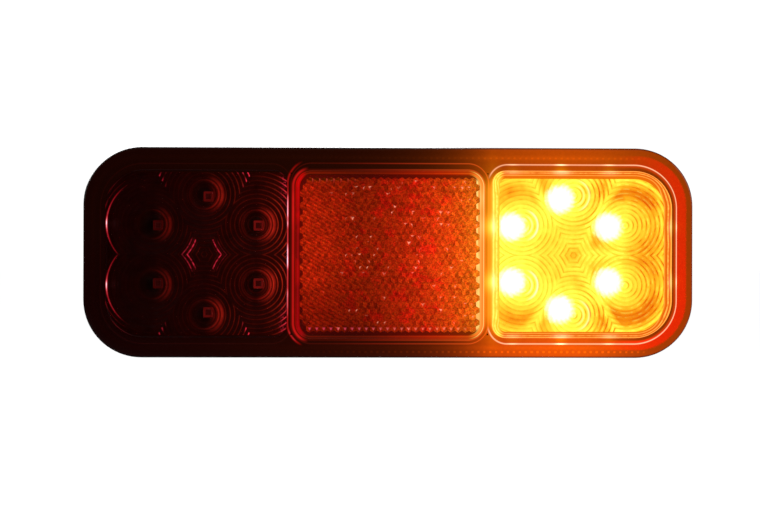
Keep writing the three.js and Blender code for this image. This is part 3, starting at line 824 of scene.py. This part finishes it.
def cover_material():
    """The smooth front of the reflector: clear over the pins, with a lit frame round them."""
    s = Surface("reflector_face")
    into = -s.outside(REFLECTOR)
    band = into.falls(1.5, 1.7)
    red, green = reflector_light(s)
    smear, soft = s.noise(1.3, 3), s.noise(8)
    right, left = s.x.rises(26, 30.6), (-s.x).rises(27.5, 30)
    lines = into.bell(0.25, 0.2) * 0.35 + into.bell(0.95, 0.25) * 0.55
    end = (s.z - MIDDLE_Z).size().rises(8, 23)
    plain = 0.18 + s.x.rises(-25, 28) * 0.42 + lines
    plain = plain + left * (0.2 + end * 0.9 + soft.rises(0.45, 0.6) * 0.4)
    # The smear noise also makes the frame's painted glow uneven.
    red = red * plain * (0.85 + smear * 0.3) * (0.5 + into.rises(0.0, 0.3) * 0.5) + right * 0.5
    beside_rows = total(s.z.bell(z, 3.5) for z in {SPOTS[0][1], SPOTS[-1][1]})
    edges = into.bell(0.15, 0.2) * 0.4 + into.bell(1.45, 0.2) * 0.25
    green = green * (0.3 + lines * 1.2) * (1 - left * 0.7) + right * (0.16 + edges + beside_rows * 0.16)
    blue = green * green * 0.45 + left * into.bell(0.9, 0.3) * 0.004
    s.glow(red * band, green * band, blue * band)
    s.base(smear, (0.008, 0.0004, 0.0004), (0.014, 0.0006, 0.0005))
    return clear(s, smear, band)


def build_reflector():
    profile = [(0, OPEN_Y)] + front_edge(FACE, 0.6, 6) + [(-1.8, FACE)]
    cover = Shape().loft(rings(REFLECTOR.grown(-0.03), profile), last_cap=True)
    piece("reflector_face", *REFLECTOR_PLATE, cover, cover_material())
    wall = rings(REFLECTOR.grown(-0.05), [(0, OPEN_Y + 0.2), (0, POCKET_Y)])
    pocket = Shape().loft(wall, last_cap=True)
    piece("reflector_pocket", *REFLECTOR_PLATE, pocket, pocket_material())

    # Each pin is the corner of a cube: three square faces that meet at a point away from the viewer.
    pins, values = Shape(), {"pin": [], "apex": [], "facet": []}
    rows = int((PRISMS.high - PRISMS.low) / PIN_ROW)
    count = int((PRISMS.right - PRISMS.left) / PIN)
    first_x = (PRISMS.left + PRISMS.right - (count - 1) * PIN) / 2 - PIN / 4
    first_z = (PRISMS.low + PRISMS.high - (rows - 1) * PIN_ROW) / 2
    apex_y = POCKET_Y - 0.25
    corner_y = apex_y - PIN_STEP * np.array([1, 2, 1, 2, 1, 2])
    for row in range(rows):
        z = first_z + row * PIN_ROW
        left, right = PRISMS.span(z)
        for column in range(count):
            x = first_x + (row % 2) * PIN / 2 + column * PIN
            if not left + 0.3 < x < right - 0.3:
                continue
            corners = circle(x, corner_y, z, PIN_RADIUS, PIN_ANGLES)
            shade = rng.random()
            for facet in (0, 2, 4):
                ring = [corners[(facet + step) % 6] for step in range(3)]
                pins.add([(x, apex_y, z), *ring], [(0, 1, 2, 3)])
                values["pin"] += [shade] * 4
                values["facet"] += [rng.random()] * 4
                values["apex"] += [1.0, 0.45, 0.0, 0.45]
    piece("reflector_pins", *REFLECTOR_PLATE, pins, pins_material(), values=values, sharp=20)


# ---- LEDs


def led_material(name, roughness, grain, *base):
    s = Surface(name, roughness=roughness)
    fine = s.noise(grain)
    if name == "led_indicator_glow":
        s.glow(1.0 + fine * 2, 0.6 + fine, 0.1 + fine * 0.4)
    # Painted glow: the unlit stop LEDs glow brighter towards the lit indicator, and their dies glow
    # faint red.
    elif name == "led_stop_glow":
        level = 0.5 + s.x.rises(-85, -42) * 1.3
        s.glow(level * (0.06 + fine * 0.06), level * 0.003, level * 0.0025)
    else:
        s.glow(0.018 + fine * 0.02, 0.0015, 0.0012)
    return s.base(fine, *base).bump(fine, 0.01).material


def build_leds():
    """Each LED is a square package with a square die sunk in its front."""
    lit = led_material("led_indicator_glow", 0.25, 0.3, (0.8, 0.6, 0.3), (1.0, 0.8, 0.4))
    unlit = led_material("led_stop_glow", 0.25, 0.3, (0.02, 0.002, 0.002), (0.04, 0.004, 0.003))
    die = led_material("led_die_glow", 0.3, 0.2, (0.01, 0.001, 0.001), (0.02, 0.002, 0.002))
    die_edge, die_depth = -0.75, 0.35
    for module, slot, materials in (
        ("stop", "red_led", (unlit, die)), ("indicator", "amber_led", (lit, lit)),
    ):
        for i in range(1, 7):
            node = f"led_{module}_{i}"
            low, high = box(node)
            package = Field(low[0], high[0], low[2], high[2], 0.25)
            front = low[1] + 0.6
            side = [(0, high[1])] + front_edge(front, 0.15, 3) + [(die_edge, front)]
            shape = Shape().loft(rings(package, side, 3), first_cap=True)
            sunk = [(die_edge, front), (die_edge - 0.2, front + die_depth)]
            shape.loft(rings(package, sunk, 3), last_cap=True, slot=1)
            piece(f"{node}_package", node, slot, shape, *materials)


# ---- housing and gasket

FLOOR_Y = -1.8  # the floor of the recess in the housing's back


def rib(shape, x, z, half_x, half_z):
    """A rib with sloped sides and a rounded top, rising from the recess floor."""
    base = Field(x - half_x, x + half_x, z - half_z, z + half_z, 0.4)
    profile = [(0.5, FLOOR_Y - 0.1), (0.16, FLOOR_Y + 0.25)] + rear_edge(-0.4, 0.25, 3)
    shape.loft(rings(base, profile, 4), last_cap=True)


def pad(shape, x, z, radius, hole=0.0):
    """A round pad level with the mounting face, with or without a hole in it."""
    edge = [(radius + 0.5, FLOOR_Y - 0.1), (radius + 0.15, FLOOR_Y + 0.3)]
    edge += [(radius + grow, y) for grow, y in rear_edge(0.0, 0.35, 4)]
    if hole:
        edge += [(hole + 0.3, 0.0), (hole, -0.3), (hole, -3.0)]
    shape.turn(edge, x, z, 64, last_cap=not hole)


def build_housing():
    abs_black = plastic("abs_black", (0.010, 0.010, 0.011), (0.022, 0.022, 0.024), 0.42, 0.3, 0.03)
    body = OUTLINE.grown(-2.4)
    front, step_y = SKIRT_BACK + 1.2, -8.2
    side = [(1.6, front + 0.02), (1.85, front), (2.0, front + 0.2), (2.0, step_y - 0.3)]
    side += [(1.75, step_y), (0.25, step_y), (0.0, step_y + 0.25)] + rear_edge(0.0, 1.2, 6)
    groove = [(-1.6, 0.0), (-1.7, -0.1), (-1.7, -0.8), (-5.6, -0.8), (-5.6, -0.1), (-5.7, 0.0)]
    recess = [(-7.9, 0.0), (-8.1, -0.1), (-8.4, FLOOR_Y + 0.3), (-8.7, FLOOR_Y)]
    shape = Shape().loft(rings(body, side + groove + recess, 20), last_cap=True)

    # A grid of ribs. The upright in the middle is parted round the cable's grommet.
    inner, half_rib, rib_pitch = body.grown(-8), 0.7, 22.0
    for i in (-4, -3, -2, -1, 1, 2, 3, 4):
        shorter = 0.9 if abs(i) == 4 else 0
        rib(shape, i * rib_pitch, 0, half_rib, (inner.high - inner.low) / 2 - shorter)
    rib(shape, 0, (inner.high + 2) / 2, half_rib, (inner.high - 2) / 2)
    rib(shape, 0, (inner.low - 20) / 2, half_rib, (-20 - inner.low) / 2)
    rib(shape, 0, 0, (inner.right - inner.left) / 2, half_rib)
    for end in ("left", "right"):
        pad(shape, middle(f"stud_{end}")[0], 0, 8.0, 2.6)
    pad(shape, 0, middle("cable_grommet")[2], 8.6, 4.4)
    pad(shape, 0, 0, 4.6)

    # Marks left by the mould's ejector pins.
    dish = [(2.2, FLOOR_Y - 0.02), (2.2, FLOOR_Y + 0.12), (1.9, FLOOR_Y + 0.12), (1.8, FLOOR_Y + 0.03)]
    for x in (-55, -33, 33, 55):
        for z in (-15, 15):
            shape.turn(dish, x, z, 32, last_cap=True)
    piece("housing_shell", "base_housing", "black_abs", shape, abs_black)

    low, high = box("rear_gasket")
    foam = plastic("foam_black", (0.014, 0.014, 0.015), (0.03, 0.03, 0.032), 0.92, 0.5, 0.12, 0.2)
    width, back, deep = 3.5, high[1], low[1]
    profile = [(0, deep), (0, back - 0.4), (-0.12, back - 0.12), (-0.4, back)]
    profile += [(-width - grow, y) for grow, y in reversed(profile)]
    gasket = Shape().loft(rings(OUTLINE.grown(OUTLINE.left - low[0]), profile, 20), loop=True)
    piece("foam_gasket", "rear_gasket", "foam", gasket, foam)


# ---- studs, nuts and washers

THREAD = 0.8


def stud_shape(x, low, high):
    """The thread is a helix: the radius at each angle follows the place within the pitch."""
    around = np.linspace(0, TURN, 32, endpoint=False)
    stud_rings = []
    for y in np.arange(-3.0, high[1] + 0.01, 0.1):
        phase = (y / THREAD - around / TURN) % 1.0
        radius = 2.46 - 0.42 * np.abs(2 * phase - 1)
        radius = np.minimum(radius, 1.55 + max(high[1] - y, 0.0))
        stud_rings.append(circle(x, y, 0, radius, around))
    return Shape().loft(stud_rings, first_cap=True, last_cap=True)


def washer_shape(x, low, high):
    inner, outer, round_by = 2.65, (high[0] - low[0]) / 2, 0.15
    profile = [
        (inner, low[1]), (outer - round_by, low[1]), (outer, low[1] + round_by),
        (outer, high[1] - round_by), (outer - round_by, high[1]), (inner + 0.1, high[1]),
        (inner, high[1] - 0.1),
    ]
    return Shape().turn(profile, x, 0, 64, loop=True)


def spring_washer_shape(x, low, high):
    """A square-section coil of nearly one turn, whose ends stand a little apart."""
    inner, outer, rise, half_gap = 2.6, (high[2] - low[2]) / 2, 0.18, 0.06
    deep = high[1] - low[1] - rise
    coil = []
    for angle in np.linspace(half_gap, TURN - half_gap, 60):
        base = low[1] + rise / 2 + rise * (angle / TURN - 0.5)
        coil.append(np.array([
            (x + r * math.cos(angle), base + t * deep, r * math.sin(angle))
            for r, t in ((inner, 0.0), (outer, 0.0), (outer, 1.0), (inner, 1.0))
        ]))
    return Shape().loft(coil, first_cap=True, last_cap=True)


def nut_shape(x, low, high):
    """A hexagon whose corners are turned off towards both faces, with a countersunk hole."""
    flats = (high[0] - low[0]) / 2
    angles = np.linspace(0, TURN, 96, endpoint=False)
    hexagon = flats / np.cos((angles + math.pi / 6) % (math.pi / 3) - math.pi / 6)
    chamfer = np.maximum(hexagon - flats, 0) * 0.58 + 0.03
    profile = (
        (2.5, low[1] + 0.5), (2.9, low[1]), (flats * 0.97, low[1]), (hexagon, low[1] + chamfer),
        (hexagon, high[1] - chamfer), (flats * 0.97, high[1]), (2.9, high[1]), (2.5, high[1] - 0.5),
    )
    return Shape().loft([circle(x, y, 0, radius, angles) for radius, y in profile], loop=True)


def build_fastenings():
    zinc = metal("zinc_plate", (0.50, 0.50, 0.48), (0.72, 0.73, 0.74))
    for end in ("left", "right"):
        x = middle(f"stud_{end}")[0]
        for name, node, body, sharp, build in (
            ("threaded_stud", "stud", "lamp", 50, stud_shape),
            ("plain_washer", "flat_washer", f"washers_{end}", 35, washer_shape),
            ("split_washer", "spring_washer", f"washers_{end}", 35, spring_washer_shape),
            ("plain_nut", "hex_nut", f"nut_{end}", 25, nut_shape),
        ):
            node = f"{node}_{end}"
            shape = build(x, *box(node))
            piece(f"{name}_{end}", node, "zinc", shape, zinc, body=body, sharp=sharp)


# ---- cable


def smooth_path(points, count):
    """A centripetal Catmull-Rom curve through the points."""
    def mix(a, b, ta, tb):
        return (a * (tb - t) + b * (t - ta)) / (tb - ta)

    points = np.array(points, float)
    padded = np.vstack([2 * points[0] - points[1], points, 2 * points[-1] - points[-2]])
    out = []
    for i in range(len(points) - 1):
        p = padded[i:i + 4]
        knots = [0.0]
        for a, b in zip(p, p[1:]):
            knots.append(knots[-1] + max(np.linalg.norm(b - a), 1e-6) ** 0.5)
        for t in np.linspace(knots[1], knots[2], count, endpoint=i == len(points) - 2):
            first = [mix(p[k], p[k + 1], knots[k], knots[k + 1]) for k in range(3)]
            second = [mix(first[k], first[k + 1], knots[k], knots[k + 2]) for k in range(2)]
            out.append(mix(*second, knots[1], knots[2]))
    return np.array(out)


def build_boot(z):
    rubber = plastic("rubber_black", (0.012, 0.012, 0.012), (0.03, 0.03, 0.03), 0.75, 0.4, 0.04, 0.3)
    profile = [(3.0, -4), (4.3, -4), (4.3, 0.05), (6.35, 0.05), (6.6, 0.3), (6.6, 1.9), (6.3, 2.2)]
    profile += [(5.4, 2.7), (5.15, 3.2)]
    for start in (4.0, 6.2, 8.4, 10.6):
        taper = 0.14 * (start - 4)
        ribbed = (5.0, start), (5.0, start + 1.0), (4.3, start + 1.25), (4.25, start + 1.95)
        profile += [(radius - taper, y) for radius, y in ribbed]
    profile += [(3.9, 13.3), (3.85, 13.8), (3.6, 14.0), (3.0, 14.0)]
    piece("boot", "cable_grommet", "black_rubber", Shape().turn(profile, 0, z, 64), rubber)


def strands_shape(start, direction):
    """Seven strands twisted together: one in the middle and six round it."""
    side = np.cross(direction, (0, 0, 1.0))
    side /= np.linalg.norm(side)
    other = np.cross(direction, side)
    strands = Shape()
    length = np.linspace(-0.5, 6.0, 40)
    for i in range(7):
        reach = 0.0 if i == 6 else 0.36
        twist = i * math.pi / 3 + length * 0.9
        bundle = start + direction * length[:, None]
        bundle = bundle + reach * (np.cos(twist)[:, None] * side + np.sin(twist)[:, None] * other)
        strands.tube(bundle, 0.18, 10)
    return strands


def build_cable():
    z = middle("cable_grommet")[2]
    build_boot(z)
    end = np.array([box("cable_sheath")[1][0], 38, -28])
    route = [(0, -4.6, z), (0, 8, z), (0, 15, z), (0, 21, z)]
    route += [(12, 34, -19), (36, 38, -27), (50, 38, -28), end]
    pvc = plastic("pvc_black", (0.012, 0.012, 0.013), (0.026, 0.026, 0.028), 0.5, 0.5, 0.05)
    path = smooth_path(route, 24)
    radius = np.full(len(path), 2.9)
    radius[-1] -= 0.35
    piece("sheath", "cable_sheath", "sheath", Shape().tube(path, radius, 40), pvc)

    # Each core's place in the sheath, across and up, and its colours.
    cores = {
        "white": (-1, 1, (0.36, 0.355, 0.33), (0.47, 0.465, 0.44)),
        "brown": (-1, -1, (0.07, 0.022, 0.008), (0.12, 0.04, 0.016)),
        "red": (1, 1, (0.42, 0.008, 0.006), (0.58, 0.02, 0.012)),
        "yellow": (1, -1, (0.5, 0.28, 0.008), (0.62, 0.38, 0.02)),
    }
    copper = metal("tinned_copper", (0.55, 0.47, 0.38), (0.82, 0.78, 0.72), 0.22)
    for colour, (across, up, dark, pale) in cores.items():
        core, bare = f"core_{colour}", f"bare_end_{colour}"
        start = end + [-0.6, across * 1.15, up * 1.15]
        stop = middle(bare) - (middle(bare) - start) * 0.02
        stop[0] = box(core)[1][0]
        bend = start * 0.55 + stop * 0.45 - np.array([0, across * 0.6, up * 0.4])
        path = smooth_path([start, start + [5, 0, 0], bend, stop], 14)
        direction = path[-1] - path[-2]
        direction /= np.linalg.norm(direction)
        pvc_core = plastic(f"pvc_{colour}", dark, pale, 0.38, 0.4, 0.03)
        piece(f"wire_{colour}", core, f"{colour}_pvc", Shape().tube(path, 0.95, 24), pvc_core)
        piece(f"strands_{colour}", bare, "copper", strands_shape(path[-1], direction), copper)
        dress(f"board_lead_{colour}", pvc_core)


# ---- pieces inside, as the CAD frame has them


def board_material():
    s = Surface("board_resist", roughness=0.35)
    tracks = (s.x.wave(7.0) * s.z.wave(5.0)).rises(0.1, 0.25)
    s.base(tracks * 0.6 + s.noise(2, 3) * 0.4, (0.004, 0.022, 0.010), (0.012, 0.05, 0.024))
    return s.bump(tracks, 0.03).material


def dress_inside():
    black = plastic("baffle_black", (0.008, 0.008, 0.009), (0.016, 0.016, 0.018), 0.5)
    chip = plastic("chip_epoxy", (0.012, 0.012, 0.012), (0.03, 0.03, 0.03), 0.55, 0.15)
    seal = plastic("seal_rubber", (0.012, 0.012, 0.012), (0.025, 0.025, 0.025), 0.8)
    screw = metal("screw_steel", (0.4, 0.4, 0.4), (0.65, 0.65, 0.66))
    for start, material in {
        "circuit_board": board_material(), "light_baffle": black, "reflector_back": black,
        "lens_seal": seal, "board_screw": screw, "regulator": chip, "reverse": chip,
        "surge": chip, "resistor": chip,
    }.items():
        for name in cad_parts:
            if name.startswith(start):
                dress(name, material)


# ---- studio


def area_light(name, place, size, watts):
    """A soft light aimed at the lamp. It lights surfaces evenly, or, as a shine, only shows in them."""
    light = bpy.data.lights.new(name, "AREA")
    light.shape, light.size, light.size_y = "RECTANGLE", *size
    light.energy = watts
    lamp = show(name, light)
    lamp.location = place
    lamp.rotation_mode = "QUATERNION"
    lamp.rotation_quaternion = (-Vector(place)).to_track_quat("-Z", "Y")
    shine = name.startswith("shine")
    lamp.visible_glossy, lamp.visible_diffuse = shine, not shine


def ray_kinds(tree):
    """1 for rays from the camera, and 1 for rays off a gloss."""
    rays = tree.nodes.new("ShaderNodeLightPath")
    return [Num(tree, rays.outputs[kind]) for kind in ("Is Camera Ray", "Is Glossy Ray")]


def build_floor():
    drop, half, steps = 0.12, 12.0, 24
    grid = np.linspace(-half, half, steps + 1)
    points = [(x, y, LENS_LOW[2] * MM - drop) for y in grid for x in grid]
    row = steps + 1
    corners = [r * row + c for r in range(steps) for c in range(steps)]
    mesh = bpy.data.meshes.new("floor")
    mesh.from_pydata(points, [], [(i, i + 1, i + row + 1, i + row) for i in corners])
    s = Surface("floor_paint", roughness=0.9, specular_ior_level=0.0)
    camera, glossy = ray_kinds(s.tree)
    paint = (0.84 + s.noise(60, 3) * 0.06) * (1 - glossy * 0.95)
    s.set("Base Color", s.colour(paint, paint, paint))
    far = (s.x * s.x + s.y * s.y).root().rises(250, 700)
    pale = camera * (0.04 + far * 0.53)
    mesh.materials.append(s.glow(pale, pale, pale).material)
    show("floor", mesh)


def build_studio():
    """A white room, lit from above, which shows dark in the lamp's gloss."""
    world = bpy.data.worlds.new("studio")
    world.use_nodes = True
    background = world.node_tree.nodes["Background"]
    camera, glossy = ray_kinds(world.node_tree)
    strength = 0.5 - glossy * 0.485
    connect(world.node_tree, camera * (1.05 - strength) + strength, background.inputs["Strength"])
    background.inputs["Color"].default_value = (1, 1, 1, 1)
    world.cycles.sampling_method = "NONE"
    scene.world = world

    area_light("over", (0.0, 0.0, 0.8), (0.9, 0.6), 5)
    area_light("behind", (-0.2, 0.8, 0.35), (0.6, 0.4), 13)
    area_light("shine_over", (0.0, 0.1, 0.8), (0.8, 0.25), 0.12)
    area_light("shine_left", (-0.8, 0.3, 0.3), (0.2, 0.5), 0.15)
    area_light("shine_right", (0.8, 0.3, 0.3), (0.2, 0.5), 0.4)
    area_light("shine_behind", (-0.3, 0.8, 0.45), (0.9, 0.5), 11)


def build_camera():
    """Nearly straight on, from a little to the left of the lamp's middle."""
    away, turn, roll, shift = 0.4795, math.radians(1.2), math.radians(-0.15), 0.04
    view_width, off_centre, sensor = 0.25686, 0.0031, 36.0
    data = bpy.data.cameras.new("camera")
    rim_distance = away + (RIM_Y + RIM_RADIUS) * MM
    data.sensor_width = sensor
    data.lens = sensor * rim_distance / view_width
    data.shift_x = shift
    camera = show("camera", data)
    aside = off_centre + rim_distance * math.tan(turn) + shift * view_width
    camera.location = (-aside, -away, (OUTLINE.low + OUTLINE.high) / 2 * MM)
    camera.rotation_euler = (math.pi / 2, roll, -turn)
    scene.camera = camera
    scene.view_settings.view_transform = "Standard"


build_main_lens()
piece("indicator_window", *INDICATOR_LENS, window_shape(WINDOW), indicator_window_material())
piece("stop_window", *MAIN_LENS, window_shape(WINDOW.mirrored()), stop_window_material())
ring_optics("indicator", INDICATOR_LENS, INDICATOR_LEDS, OPTICS, indicator_optics_material())
ring_optics("stop", MAIN_LENS, STOP_LEDS, STOP_OPTICS, stop_optics_material())
build_reflector()
build_leds()
build_housing()
build_fastenings()
build_cable()
dress_inside()
build_floor()
build_studio()
build_camera()
